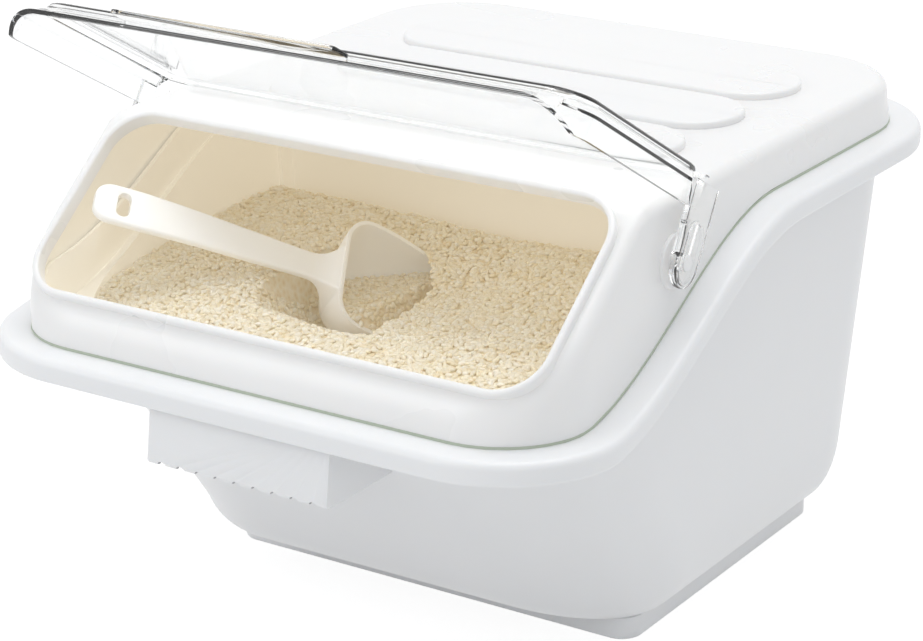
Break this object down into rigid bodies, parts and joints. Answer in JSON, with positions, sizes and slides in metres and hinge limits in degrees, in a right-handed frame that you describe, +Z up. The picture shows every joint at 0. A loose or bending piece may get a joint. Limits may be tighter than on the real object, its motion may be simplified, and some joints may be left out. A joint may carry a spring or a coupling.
{
  "type": "rice bin",
  "caption": "Slant-mouth rice storage bin: footed tub with an S-curved rim, lift-off cover, hinged clear flip lid, inner divider, rice and a loose scoop.",
  "frame": {"origin": "centre of the foot's underside, on the surface the bin stands on", "axes": "+X to the right of someone facing the mouth, +Y to the back, +Z up"},
  "size_m": [0.3474, 0.4224, 0.3218],
  "materials": {
    "tub_plastic": "white moulded polypropylene, soft sheen",
    "cover_plastic": "white moulded polypropylene, soft sheen",
    "clear_plastic": "clear polystyrene, glossy",
    "seal_rubber": "pale translucent silicone",
    "rice_grains": "dry polished short-grain rice, matte",
    "scoop_plastic": "white moulded polypropylene, satin"
  },
  "bodies": {
    "tub": {"tub": "tub_plastic", "divider": "tub_plastic", "rice": "rice_grains"},
    "cover": {"cover": "cover_plastic", "rim_seal": "seal_rubber"},
    "lid": {"lid": "clear_plastic"},
    "scoop": {"scoop": "scoop_plastic"}
  },
  "joints": [
    {"name": "cover_lift", "type": "slide", "parent": "tub", "child": "cover", "axis": [0, 0, 1], "range_m": [0, 0.12]},
    {"name": "lid_hinge", "type": "hinge", "parent": "cover", "child": "lid", "pos_m": [0, -0.123, 0.2145], "axis": [1, 0, 0], "range_deg": [0, 69.44]},
    {"name": "scoop_out", "type": "slide", "parent": "tub", "child": "scoop", "axis": [0, -0.8616, 0.5075], "range_m": [0, 0.3]}
  ]
}
